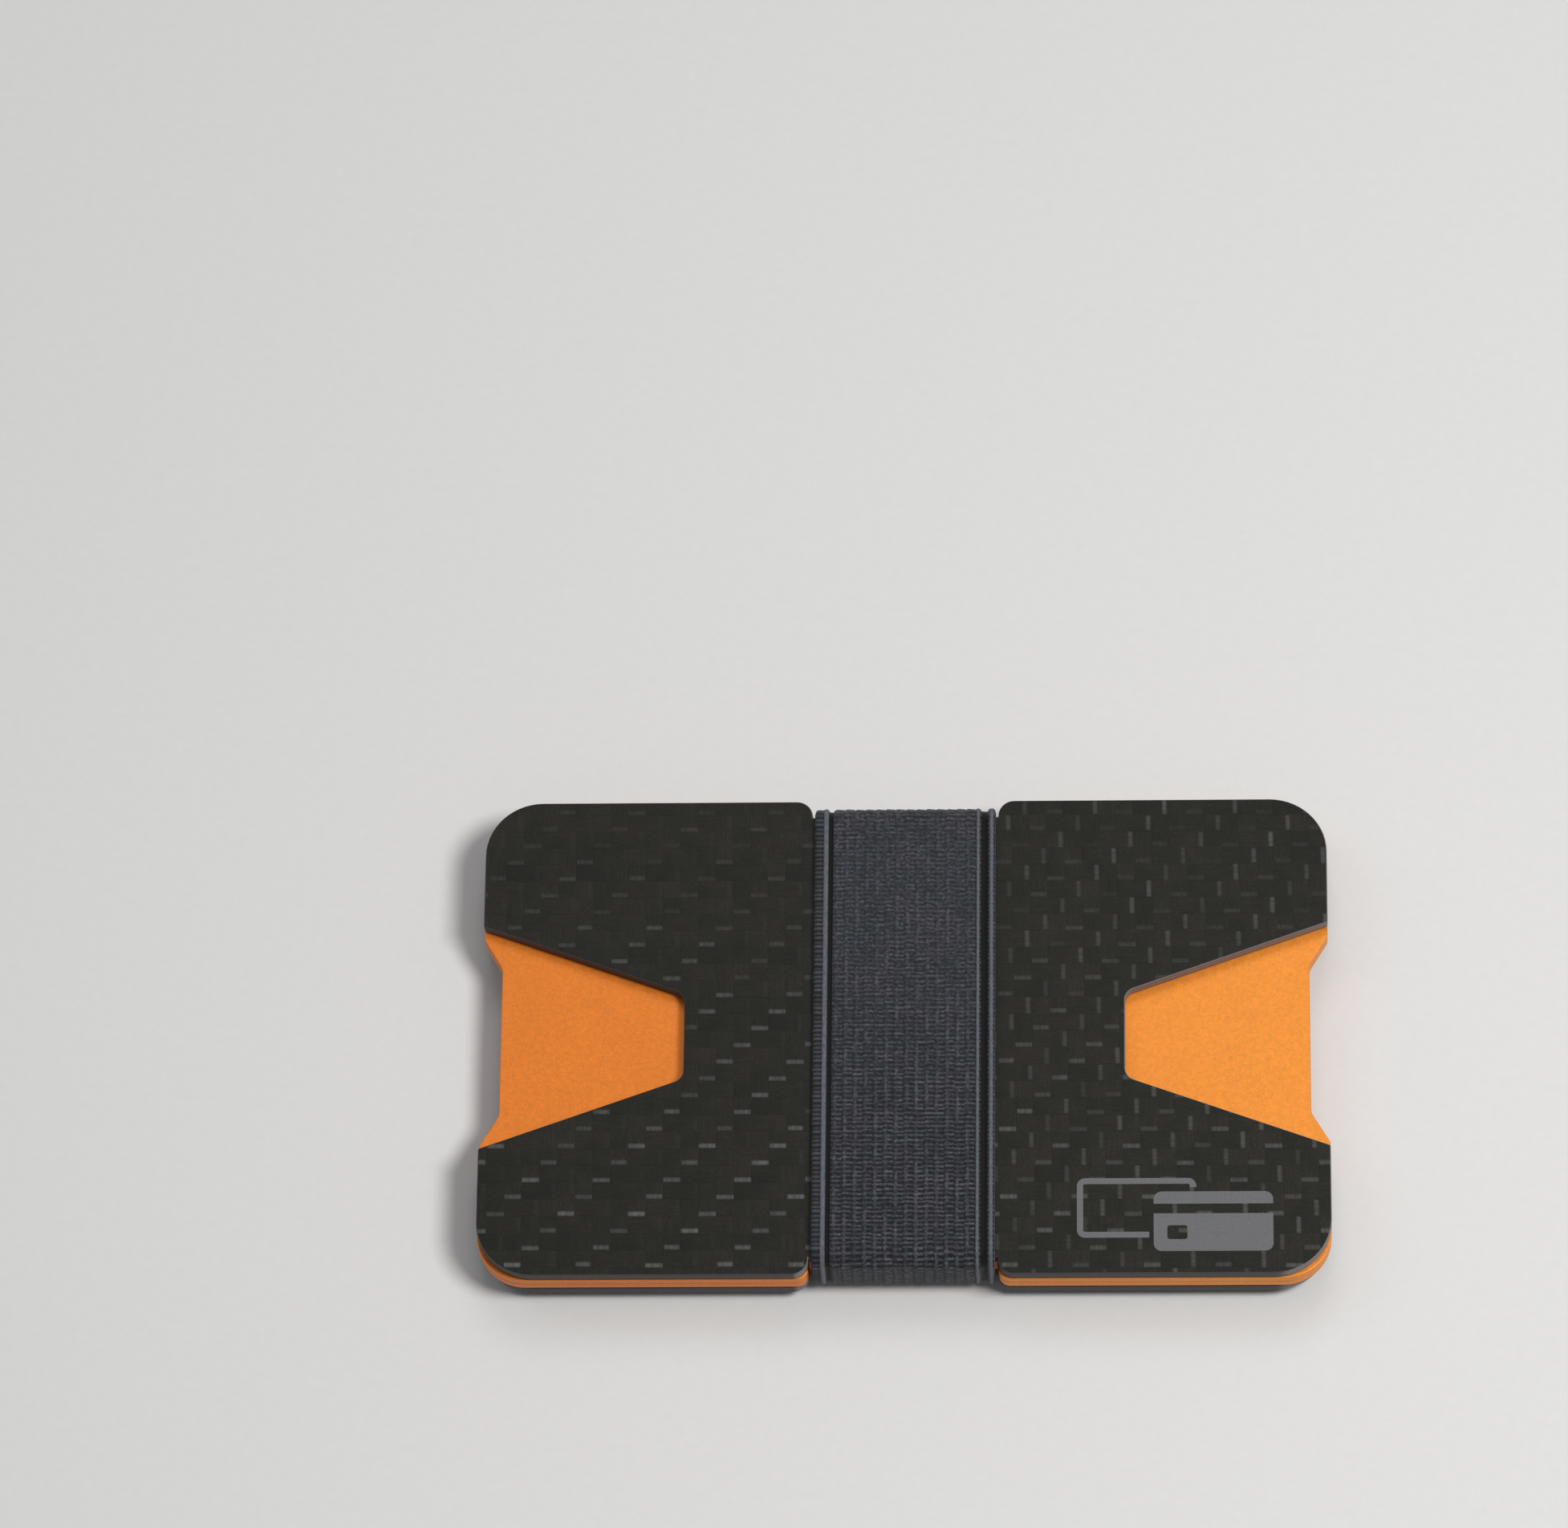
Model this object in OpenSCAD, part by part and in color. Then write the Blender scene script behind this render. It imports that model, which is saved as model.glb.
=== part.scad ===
// Minimalist card wallet, closed and empty, lying on its back. Millimetres.
// X runs along the long side, Y across it and Z up, out of the front face. The origin is the middle
// of the lowest face. The front half slides along +Z away from the back half as cards go in.

/* [Plates] */
// Length of both halves, along X
plate_length = 95; // [90:0.5:105]
// Width of both halves, along Y
plate_width = 57; // [56:0.5:64]
// Corner radius of the carbon-fibre face plates
face_corner_r = 6.4; // [4:0.2:8]
// Corner radius of the aluminium liner plates
liner_corner_r = 5.4; // [4:0.2:8]
// Thickness of a face plate
face_thickness = 1.5; // [0.8:0.1:2]
// Thickness of a liner plate
liner_thickness = 1.2; // [0.8:0.1:2]
// Thickness of the adhesive film between the two
bond_thickness = 0.15; // [0.05:0.05:0.3]
// How far the adhesive film stays inside the outline of the plates
bond_inset = 0.4; // [0.2:0.1:1]

/* [Thumb cut-outs] */
// Width of a face plate's cut-out at the plate's short edge
cut_mouth = 26.8; // [22:0.2:32]
// Width of that cut-out at its inner end
cut_floor = 10.2; // [8:0.2:16]
// Depth of that cut-out
cut_depth = 22.8; // [14:0.1:26]
// Radius of its two inner corners
cut_corner_r = 1.5; // [0.5:0.1:3]
// Width of a liner's shallow thumb notch at the short edge
notch_mouth = 24.8; // [20:0.2:30]
// Width of that notch at its inner end
notch_floor = 17.8; // [10:0.2:19]
// Depth of that notch
notch_depth = 2.1; // [1:0.1:3]
// Radius of its two inner corners
notch_corner_r = 1.5; // [0.5:0.1:3]

/* [Elastic band] */
// Width of the woven band, along X
band_width = 20.4; // [12:0.2:25]
// Thickness of the band
band_thickness = 1.1; // [0.6:0.1:1.6]
// Depth of the notches in the long edges that hold the band
band_notch_depth = 2; // [2:0.1:3]
// Play between the band's edge and the notch, on each side
band_play = 0.3; // [0.1:0.1:1]
// Radius of the face plates' corners at a band notch
face_shoulder_r = 1.8; // [0.5:0.1:1.8]
// Radius of the liners' corners at a band notch
liner_shoulder_r = 1.4; // [0.5:0.1:1.8]

/* [Band seam] */
// Length of the band's overlapped end, along Y
lap_length = 16; // [10:1:24]
// Thickness of the overlapped end, which the sewing presses flat
lap_thickness = 0.8; // [0.6:0.1:1.2]
// Distance of each row of stitches from the middle of the lap
row_offset = 6; // [3:0.5:9]
// Number of stitches in a row
stitch_count = 7; // [4:1:9]
// Length of one stitch
stitch_length = 1.8; // [1.2:0.1:2.2]
// Width and depth of the thread
thread_width = 0.4; // [0.3:0.05:0.6]

/* [Hidden] */
$fn = 96;
// Overrun of a cutter past the face it opens
cutter_overrun = 1;
// How far a corner's arc crosses the lines it joins, so that they meet in one clean point
arc_overlap = 0.002;
half_length = plate_length / 2;
half_width = plate_width / 2;
// Half of the distance between the floors of the two band notches
seat_half = half_width - band_notch_depth;
// Clear width of a band notch
seat_width = band_width + 2 * band_play;
// Heights of the lower face of each layer, from the table upwards
back_span_z = lap_thickness;
back_face_z = back_span_z + band_thickness;
back_bond_z = back_face_z + face_thickness;
back_liner_z = back_bond_z + bond_thickness;
front_liner_z = back_liner_z + liner_thickness;
front_bond_z = front_liner_z + liner_thickness;
front_face_z = front_bond_z + bond_thickness;
front_span_z = front_face_z + face_thickness;
// Depth of the groove that a row of stitches lies in
groove_depth = thread_width + 0.05;
groove_width = thread_width + 0.2;
// Distance from one stitch to the next
stitch_pitch = (band_width - stitch_length - 1.4) / (stitch_count - 1);

carbon = [0.16, 0.16, 0.15];
anodised_orange = [0.92, 0.53, 0.22];
adhesive = [0.55, 0.55, 0.5];
elastic_black = [0.1, 0.1, 0.11];
thread_black = [0.05, 0.05, 0.05];

// Rectangle with round corners, centred on the origin
module round_rectangle(length, width, corner_r) {
    square([length - 2 * corner_r, width], center = true);
    square([length, width - 2 * corner_r], center = true);
    for (side_x = [-1, 1], side_y = [-1, 1])
        translate([side_x * (length / 2 - corner_r), side_y * (width / 2 - corner_r)])
            circle(corner_r);
}

// Trapezoid cut into the +X edge, with its two inner corners rounded. An inset widens it all round.
module thumb_cut(mouth, floor_width, depth, corner_r, inset) {
    slope = (mouth - floor_width) / 2 / depth;
    side_angle = atan(slope);
    floor_x = half_length - depth - inset;
    side_shift = inset / cos(side_angle);
    floor_half = floor_width / 2 + side_shift - slope * inset;
    mouth_half = mouth / 2 + side_shift + slope * cutter_overrun;
    mouth_x = half_length + cutter_overrun;
    arc_r = corner_r + inset;
    // The arc's centre, seen from the inner corner, and the far end of the wedge that it rounds
    centre_y = -arc_r / tan((90 + side_angle) / 2);
    reach = arc_r + cutter_overrun;
    wedge_x = arc_r - reach * sin(side_angle);
    wedge_y = centre_y + reach * cos(side_angle);
    difference() {
        polygon([[floor_x, -floor_half], [mouth_x, -mouth_half],
                 [mouth_x, mouth_half], [floor_x, floor_half]]);
        for (side = [0, 1])
            mirror([0, side])
                translate([floor_x, floor_half])
                    difference() {
                        polygon([[-cutter_overrun, centre_y], [arc_r, centre_y],
                                 [wedge_x, wedge_y], [-cutter_overrun, wedge_y]]);
                        translate([arc_r, centre_y]) circle(arc_r + arc_overlap);
                    }
    }
}

// Seat for the band in the +Y edge, whose two shoulders are rounded. An inset widens it all round.
module band_seat(shoulder_r, inset) {
    shoulder_x = seat_width / 2 + shoulder_r;
    shoulder_y = half_width - shoulder_r;
    floor_y = seat_half - inset;
    difference() {
        translate([-shoulder_x, floor_y])
            square([2 * shoulder_x, half_width + cutter_overrun - floor_y]);
        for (side = [0, 1])
            mirror([side, 0]) {
                translate([shoulder_x, shoulder_y]) circle(shoulder_r - inset);
                translate([seat_width / 2 + inset, floor_y - cutter_overrun])
                    square([shoulder_r - inset, shoulder_y - floor_y + cutter_overrun]);
            }
    }
}

// Outline shared by all the plates; it is the same when turned over
module plate_outline(corner_r, mouth, floor_width, depth, cut_r, shoulder_r, inset = 0) {
    difference() {
        round_rectangle(plate_length - 2 * inset, plate_width - 2 * inset, corner_r - inset);
        for (end = [0, 1])
            mirror([end, 0]) thumb_cut(mouth, floor_width, depth, cut_r, inset);
        for (edge = [0, 1])
            mirror([0, edge]) band_seat(shoulder_r, inset);
    }
}

module face_outline(inset = 0) {
    plate_outline(face_corner_r, cut_mouth, cut_floor, cut_depth, cut_corner_r, face_shoulder_r,
                  inset);
}

module liner_outline() {
    plate_outline(liner_corner_r, notch_mouth, notch_floor, notch_depth, notch_corner_r,
                  liner_shoulder_r);
}

// Flat run of the band over a face plate, with the quarter turns at its two ends. It is drawn for
// the front; the back one is its mirror image.
module band_span() {
    translate([-band_width / 2, -seat_half, 0])
        cube([band_width, 2 * seat_half, band_thickness]);
    for (edge = [0, 1])
        mirror([0, edge, 0])
            intersection() {
                translate([-band_width / 2, seat_half, 0])
                    rotate([0, 90, 0])
                        cylinder(h = band_width, r = band_thickness);
                translate([-band_width / 2, seat_half, 0])
                    cube([band_width, band_thickness, band_thickness]);
            }
}

// Straight run of the band up the +Y edge, in the notches of all the plates
module band_side() {
    translate([-band_width / 2, seat_half, back_face_z])
        cube([band_width, band_thickness, front_span_z - back_face_z]);
}

// One stitch with round ends, along X, its lower face level with the lap's
module stitch() {
    straight = stitch_length - thread_width;
    linear_extrude(thread_width) {
        square([straight, thread_width], center = true);
        for (end = [-1, 1])
            translate([end * straight / 2, 0]) circle(thread_width / 2, $fn = 24);
    }
}

module front_face_plate() {
    color(carbon)
        translate([0, 0, front_face_z])
            linear_extrude(face_thickness) face_outline();
}

module back_face_plate() {
    color(carbon)
        translate([0, 0, back_face_z])
            linear_extrude(face_thickness) face_outline();
}

module front_bond_film() {
    color(adhesive)
        translate([0, 0, front_bond_z])
            linear_extrude(bond_thickness) face_outline(bond_inset);
}

module back_bond_film() {
    color(adhesive)
        translate([0, 0, back_bond_z])
            linear_extrude(bond_thickness) face_outline(bond_inset);
}

module front_liner_plate() {
    color(anodised_orange)
        translate([0, 0, front_liner_z])
            linear_extrude(liner_thickness) liner_outline();
}

module back_liner_plate() {
    color(anodised_orange)
        translate([0, 0, back_liner_z])
            linear_extrude(liner_thickness) liner_outline();
}

module band_front_span() {
    color(elastic_black)
        translate([0, 0, front_span_z]) band_span();
}

module band_back_span() {
    color(elastic_black)
        translate([0, 0, back_face_z]) mirror([0, 0, 1]) band_span();
}

module band_far_side() {
    color(elastic_black) band_side();
}

module band_near_side() {
    color(elastic_black) mirror([0, 1, 0]) band_side();
}

// Overlapped end of the band, sewn under the back run, with a groove for each row of stitches
module band_lap() {
    color(elastic_black)
        difference() {
            translate([-band_width / 2, -lap_length / 2, 0])
                cube([band_width, lap_length, lap_thickness]);
            for (row = [-1, 1])
                translate([0, row * row_offset, 0])
                    cube([band_width - 1, groove_width, 2 * groove_depth], center = true);
        }
}

module lap_thread() {
    color(thread_black)
        for (row = [-1, 1], index = [0 : stitch_count - 1])
            translate([(index - (stitch_count - 1) / 2) * stitch_pitch, row * row_offset, 0])
                stitch();
}

front_face_plate();
front_bond_film();
front_liner_plate();
back_liner_plate();
back_bond_film();
back_face_plate();
band_front_span();
band_back_span();
band_far_side();
band_near_side();
band_lap();
lap_thread();
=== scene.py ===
"""Minimalist wallet: two halves of carbon fibre on orange aluminium, held by a loop of elastic.

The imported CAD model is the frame. Its plates stay as they are and get chamfered edges and their
materials. The elastic loop, its sewn lap and the thread are built here as detailed meshes, which
stand for the plain CAD solids. Lengths are in metres, in the row frame.
"""

import math

import bpy
import numpy as np
from mathutils import Matrix, Vector


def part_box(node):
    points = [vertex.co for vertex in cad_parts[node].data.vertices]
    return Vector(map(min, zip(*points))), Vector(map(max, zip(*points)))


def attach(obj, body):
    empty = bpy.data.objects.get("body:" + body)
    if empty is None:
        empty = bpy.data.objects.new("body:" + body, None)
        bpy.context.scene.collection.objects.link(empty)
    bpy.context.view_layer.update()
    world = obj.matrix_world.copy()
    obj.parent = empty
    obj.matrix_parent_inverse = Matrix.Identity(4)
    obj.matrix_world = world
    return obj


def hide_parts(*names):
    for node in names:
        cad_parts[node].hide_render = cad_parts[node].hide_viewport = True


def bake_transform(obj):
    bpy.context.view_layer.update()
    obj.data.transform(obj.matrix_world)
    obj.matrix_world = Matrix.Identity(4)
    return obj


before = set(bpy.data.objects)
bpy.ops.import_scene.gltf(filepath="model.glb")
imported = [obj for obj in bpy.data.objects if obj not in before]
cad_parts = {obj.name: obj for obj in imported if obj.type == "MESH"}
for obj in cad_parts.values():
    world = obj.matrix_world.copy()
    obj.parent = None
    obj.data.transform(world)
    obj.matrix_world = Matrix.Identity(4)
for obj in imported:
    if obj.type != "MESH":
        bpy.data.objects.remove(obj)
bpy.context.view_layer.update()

MM = 0.001

# The camera looks down on the wallet from its near side. AIM is the place on the level of the
# front face plate that is in the middle of the picture.
AIM_X = -13.85 * MM
AIM_Y = 33.17 * MM
CAMERA_DISTANCE = 1.0133
CAMERA_TILT = math.radians(23.74)
CAMERA_SWING = math.radians(-6.13)
CAMERA_ROLL = math.radians(5.98)
CAMERA_LENS = 205.0
CAMERA_SENSOR = 36.0
CAMERA_RANGE = (0.05, 20.0)

# Woven carbon: distance from one tow to the next, the lean of the two sets of tows off square,
# and where the pattern starts, counted in tows.
TOW_PITCH_X = 1.97 * MM
TOW_PITCH_Y = 2.02 * MM
TOW_LEAN_X = 0.016
TOW_LEAN_Y = 0.004
TWILL_START_X = 0.721
TWILL_START_Y = -1.257
# Painted highlights, the bright bars of the weave: start and end along a float, and the softness of both,
# in tows
NEAR_END_GLINT = (0.12, 0.22, 0.14)
RIGHT_END_GLINT = (1.77, 1.85, 0.15)
# Their brightness changes over the plates, from left to right and from far to near: painted light, as it
# falls on the plates.
GLINT_LIGHT_FADE_X = (-20 * MM, 35 * MM)
GLINT_LIGHT_FADE_Y = (30 * MM, -24 * MM)
# How far the pattern of the weave stands out, and single fibres on it
WEAVE_RELIEF = 0.035 * MM
FIBRE_RELIEF = 0.004 * MM
PLY_THICKNESS = 0.25 * MM
PLY_RELIEF = 0.02 * MM

# The other materials: how far their fine detail stands out, and where the orange gets yellower and
# lighter, painted as if lit from the right
GRAIN_RELIEF = 0.004 * MM
PIT_RELIEF = 0.008 * MM
FILM_RELIEF = 0.03 * MM
KNIT_RELIEF = 0.02 * MM
FILAMENT_RELIEF = 0.01 * MM
FLOOR_RELIEF = 0.01 * MM
ORANGE_LIGHT_FADE_X = (-34 * MM, 44 * MM)

PLATE_CHAMFER = 0.16 * MM
LINER_CHAMFER = 0.12 * MM
# Points of a CAD plate nearer than this are one, and faces flatter than this are one face.
WELD_DISTANCE = 0.004 * MM
FLAT_ANGLE = math.radians(0.8)
SHARP_ANGLE = math.radians(30)

# The etched mark, a picture of two payment cards: middles and half sizes of its rectangles
MARK_CARD = (6.6 * MM, 3.5 * MM)
MARK_CORNER = 0.9 * MM
MARK_FRONT_PLACE = (34.4 * MM, -22.4 * MM)
MARK_REAR_PLACE = (25.9 * MM, -20.8 * MM)
MARK_STRIPE = (7 * MM, 0.55 * MM)
MARK_STRIPE_PLACE = (34.4 * MM, -20.9 * MM)
MARK_CHIP = (1.1 * MM, 0.8 * MM)
MARK_CHIP_CORNER = 0.3 * MM
MARK_CHIP_PLACE = (30.4 * MM, -23.7 * MM)
# Width of the rear card's outline, its distance from the front card, and how soft every edge is
MARK_OUTLINE = 0.65 * MM
MARK_GAP = 0.5 * MM
MARK_SOFT = 0.04 * MM

# Elastic: distance between the cross yarns, and the knitted wales across the band.
PICK_PITCH = 0.53 * MM
WALES = 14
BODY_LEFT = 2.2 * MM
BODY_RIGHT = 18.15 * MM
WALE_PITCH = (BODY_RIGHT - BODY_LEFT) / WALES
ROWS_PER_PICK = 3
# Clearance between the elastic and what it is stretched over
BAND_GAP = 0.02 * MM
# How far the elastic stands out from the plates at the middle of each side
BAND_BULGE = 0.4 * MM
# Radius of the inner face where it turns over the plates' edges
BAND_INNER_RADIUS = 0.9 * MM
# How far the cross yarns wander along the band, and the loops of its left edge across it
YARN_WANDER = 0.028 * MM
WANDER_WAVES = 6
SELVEDGE_WANDER = 0.07 * MM
# Points of the loop's path up each side and round each corner
SIDE_POINTS = 40
CORNER_POINTS = 24
# Points across the inner face of the strip, and how far from both edges they start
INNER_POINTS = 8
INNER_MARGIN = 0.2 * MM
# Where the random numbers of the two strips start
BAND_SEED = 11
LAP_SEED = 12
# A distance that is smaller than any detail, for comparing places
TINY = 0.01 * MM

STITCHES_IN_A_ROW = 7
STITCH_LENGTH = 1.8 * MM
STITCH_ROW = 6 * MM
STITCH_SINK = 0.42 * MM
STITCH_POINTS = 25
THREAD_SIDES = 10
# A stitch stays this far inside the ends of its CAD solid.
STITCH_GAP = 0.02 * MM
# The thread's two plies: radius, distance from its middle and level, as shares of its width, and
# how many turns they make in one stitch
THREAD_PLY_RADIUS = 0.26
THREAD_PLY_OFFSET = 0.2
THREAD_LEVEL = 0.48
THREAD_TURNS = 1.6
# The lap is pulled in by its stitches, and at both ends: depth, and how far that reaches
SEWN_DIP = 0.22 * MM
SEWN_DIP_START = 0.55 * MM
SEWN_DIP_END = 0.12 * MM
LAP_END_DIP = 0.35 * MM
LAP_END_REACH = 0.45 * MM

# Colours, as linear red, green and blue
GREENER_RESIN = (0.0126, 0.0129, 0.0089)
BROWNER_RESIN = (0.0146, 0.0135, 0.0098)
PAINTED_GLINT_COLOUR = (0.105, 0.105, 0.103)
ETCHED_RESIN = (0.145, 0.147, 0.155)
CUT_PLIES = (0.092, 0.080, 0.080)
CUT_CHAMFER = (0.078, 0.068, 0.068)
# Painted light: the orange is lighter and yellower at the right, where more light falls.
ORANGE_AT_LEFT = (0.743, 0.202, 0.021)
ORANGE_LIT_AT_RIGHT = (0.828, 0.276, 0.0326)
ORANGE_CHAMFER = (0.84, 0.37, 0.09)
DARK_FILM = (0.010, 0.010, 0.009)
PALE_FILM = (0.035, 0.033, 0.03)
BLUER_DYE = (0.0370, 0.0425, 0.0515)
PURPLER_DYE = (0.0415, 0.0412, 0.0515)
DARK_THREAD = (0.012, 0.012, 0.014)
PALE_THREAD = (0.06, 0.06, 0.066)
DARK_FLOOR = (0.70, 0.70, 0.70)
PALE_FLOOR = (0.74, 0.74, 0.735)

# Round lights: place, size across, power and colour. All of them face LIGHTS_AIM.
LIGHTS = {
    "key_light": ((0.34, -0.10, 0.68), 0.24, 4.25, (1.0, 0.985, 0.96)),
    "fill_light": ((-0.6, 0.25, 0.8), 0.6, 0.9, (0.95, 0.97, 1.0)),
    "back_light": ((0.0, 0.66, 1.0), 0.6, 2.0, (1.0, 1.0, 1.0)),
}
LIGHTS_AIM = (0, 0, 5 * MM)
WORLD_COLOUR = (0.95, 0.97, 1.0)
WORLD_STRENGTH = 0.20
FLOOR_REACH = 4.0


# ---------------------------------------------------------------- nodes

class Nodes:
    """One material's node tree, built a call at a time."""

    def __init__(self, name, uniform):
        self.material = bpy.data.materials.new(name)
        self.material.use_nodes = True
        self.tree = self.material.node_tree
        self.surface = self.tree.nodes["Principled BSDF"]
        for socket, value in uniform.items():
            self.surface.inputs[socket].default_value = value

    def fill(self, socket, value):
        """Links value to the socket, or sets it if it is a number or a colour of three."""
        if isinstance(value, bpy.types.NodeSocket):
            self.tree.links.new(value, socket)
        elif socket.type == "RGBA":
            socket.default_value = (*value, 1.0)
        else:
            socket.default_value = value

    def add(self, kind, values=(), **settings):
        """A node with these settings, and its first inputs filled with the values in order."""
        node = self.tree.nodes.new(kind)
        for name, value in settings.items():
            setattr(node, name, value)
        for socket, value in zip(node.inputs, values):
            self.fill(socket, value)
        return node

    def math(self, operation, *values):
        return self.add("ShaderNodeMath", values, operation=operation).outputs[0]

    def coordinates(self, output):
        """The x, y and z of one output of the Texture Coordinate node."""
        place = self.add("ShaderNodeTexCoord").outputs[output]
        return self.add("ShaderNodeSeparateXYZ", [place]).outputs

    def ramp(self, value, low, high):
        """0 at low and before it, 1 at high and after it, and smooth between."""
        node = self.add("ShaderNodeMapRange", [value, low, high], interpolation_type="SMOOTHSTEP")
        return node.outputs[0]

    def band(self, value, low, high, soft):
        """1 from low to high, falling to 0 within soft of each end."""
        rise = self.ramp(value, low - soft, low)
        fall = self.ramp(value, high + soft, high)
        return self.math("MULTIPLY", rise, fall)

    def blend(self, share, low, high):
        """A number between low and high."""
        step = self.math("SUBTRACT", high, low)
        return self.math("MULTIPLY_ADD", step, share, low)

    def mix(self, share, low, high):
        """A colour between low and high."""
        node = self.add("ShaderNodeMix", data_type="RGBA")
        self.fill(node.inputs[0], share)
        for socket, colour in ((node.inputs[6], low), (node.inputs[7], high)):
            self.fill(socket, colour)
        return node.outputs[2]

    def tint(self, colour, strength):
        """A colour made lighter or darker by a number round 1."""
        node = self.add("ShaderNodeVectorMath", operation="SCALE")
        self.fill(node.inputs[0], colour)
        self.fill(node.inputs["Scale"], strength)
        return node.outputs[0]

    def vary(self, shade, value, swing, least):
        """The shade times least where value is 0, and times least plus swing where it is 1."""
        return self.math("MULTIPLY", shade, self.math("MULTIPLY_ADD", value, swing, least))

    def noise(self, x, y, z, scales, detail=2.0):
        """Smooth noise from 0 to 1 with its own scale, in cycles a metre, along each axis."""
        scaled = [self.math("MULTIPLY", part, scale) for part, scale in zip((x, y, z), scales)]
        place = self.add("ShaderNodeCombineXYZ", scaled).outputs[0]
        return self.add("ShaderNodeTexNoise", [place, 0.0, 1.0, detail]).outputs[0]

    def chance(self, a, b):
        """A random number from 0 to 1 for each pair of whole numbers."""
        place = self.add("ShaderNodeCombineXYZ", [a, b, 0.0]).outputs[0]
        return self.add("ShaderNodeTexWhiteNoise", [place], noise_dimensions="3D").outputs[0]

    def bump(self, height, distance, under=None):
        """A normal from a height of 0 to 1, which stands for that distance in metres."""
        node = self.add("ShaderNodeBump")
        node.inputs["Strength"].default_value = 1.0
        node.inputs["Distance"].default_value = distance
        self.fill(node.inputs["Height"], height)
        if under is not None:
            self.fill(node.inputs["Normal"], under)
        return node.outputs[0]

    def finish(self, colour, roughness, normal):
        """Fills the surface shader and gives the material."""
        self.fill(self.surface.inputs["Base Color"], colour)
        self.fill(self.surface.inputs["Roughness"], roughness)
        self.fill(self.surface.inputs["Normal"], normal)
        return self.material


# ---------------------------------------------------------------- carbon fibre

def twill(nodes, x, y):
    """The 2x2 twill at a place on a plate: the height of the tow on top, whether that tow runs
    along Y, how far the place is along its float (0 to 2 tows) and from its middle line, and the
    column and row of the crossing."""
    across = nodes.math("MULTIPLY_ADD", y, TOW_LEAN_X, x)
    along = nodes.math("MULTIPLY_ADD", x, TOW_LEAN_Y, y)
    u = nodes.math("MULTIPLY_ADD", across, 1 / TOW_PITCH_X, TWILL_START_X)
    v = nodes.math("MULTIPLY_ADD", along, 1 / TOW_PITCH_Y, TWILL_START_Y)
    column = nodes.math("FLOOR", u)
    row = nodes.math("FLOOR", v)
    in_column = nodes.math("SUBTRACT", u, column)
    in_row = nodes.math("SUBTRACT", v, row)
    # Steps 0 and 1 of the four show the tow along Y, and steps 2 and 3 the tow along X.
    step = nodes.math("FLOORED_MODULO", nodes.math("SUBTRACT", column, row), 4.0)
    y_on_top = nodes.math("LESS_THAN", step, 1.5)
    along_y = nodes.math("ADD", in_row, nodes.math("LESS_THAN", step, 0.5))
    along_x = nodes.math("ADD", in_column, nodes.math("GREATER_THAN", step, 2.5))
    place = nodes.blend(y_on_top, along_x, along_y)
    side = nodes.math("SUBTRACT", nodes.blend(y_on_top, in_row, in_column), 0.5)
    arch = nodes.math("SINE", nodes.math("MULTIPLY", place, math.pi / 2))
    crown = nodes.math("MULTIPLY_ADD", nodes.math("MULTIPLY", side, side), -1.6, 1.0)
    height = nodes.math("MULTIPLY", nodes.math("POWER", nodes.math("MAXIMUM", arch, 0.0), 0.45), crown)
    return height, y_on_top, place, side, column, row


def painted_glints(nodes, y_on_top, place, side, column, row, x, y):
    """Painted highlights: the short bright bars where a float dives under the next tow, from 0 to 1.
    They lie at the near end of the floats along Y and at the right end of the floats along X."""
    luck = nodes.chance(column, row)
    other_luck = nodes.chance(row, nodes.math("ADD", column, 31.0))
    slip = nodes.math("MULTIPLY_ADD", other_luck, 0.08, -0.04)
    along = nodes.math("ADD", place, slip)
    near_end = nodes.band(along, *NEAR_END_GLINT)
    right_end = nodes.band(along, *RIGHT_END_GLINT)
    reach = nodes.math("MULTIPLY_ADD", other_luck, 0.10, 0.38)
    from_middle = nodes.math("ABSOLUTE", side)
    width = nodes.ramp(from_middle, nodes.math("ADD", reach, 0.10), nodes.math("SUBTRACT", reach, 0.04))
    # Painted reflection: single bundles of fibres in the tow reflect more than those beside them.
    bundles_y = nodes.noise(x, y, 0.0, (3600, 500, 0))
    bundles_x = nodes.noise(x, y, 0.0, (500, 3600, 0))
    bundles = nodes.ramp(nodes.blend(y_on_top, bundles_x, bundles_y), 0.28, 0.72)
    # Painted light: the bars are dimmed where less light falls on the plates.
    # In the photo the bars along Y fade towards the far side, and those along X towards the left.
    to_right = nodes.ramp(x, *GLINT_LIGHT_FADE_X)
    to_near = nodes.ramp(y, *GLINT_LIGHT_FADE_Y)
    y_bar = nodes.math("MULTIPLY", near_end, nodes.blend(to_right, 1.0, 0.62))
    y_bar = nodes.math("MULTIPLY", y_bar, nodes.blend(to_near, 0.20, 1.16))
    x_bar = nodes.math("MULTIPLY", right_end, nodes.blend(to_right, 0.06, 0.66))
    bar = nodes.math("MULTIPLY", nodes.blend(y_on_top, x_bar, y_bar), width)
    return nodes.math("MULTIPLY", nodes.vary(bar, luck, 0.62, 0.26), nodes.blend(bundles, 0.6, 1.15))


def box_distance(nodes, x, y, centre, half, corner):
    """Distance outside a rounded rectangle, negative inside it."""
    parts = []
    for value, middle, reach in ((x, centre[0], half[0]), (y, centre[1], half[1])):
        away = nodes.math("ABSOLUTE", nodes.math("SUBTRACT", value, middle))
        parts.append(nodes.math("SUBTRACT", away, reach - corner))
    outside = [nodes.math("MAXIMUM", part, 0.0) for part in parts]
    squares = [nodes.math("MULTIPLY", part, part) for part in outside]
    length = nodes.math("SQRT", nodes.math("ADD", *squares))
    inside = nodes.math("MINIMUM", nodes.math("MAXIMUM", *parts), 0.0)
    return nodes.math("SUBTRACT", nodes.math("ADD", length, inside), corner)


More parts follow.
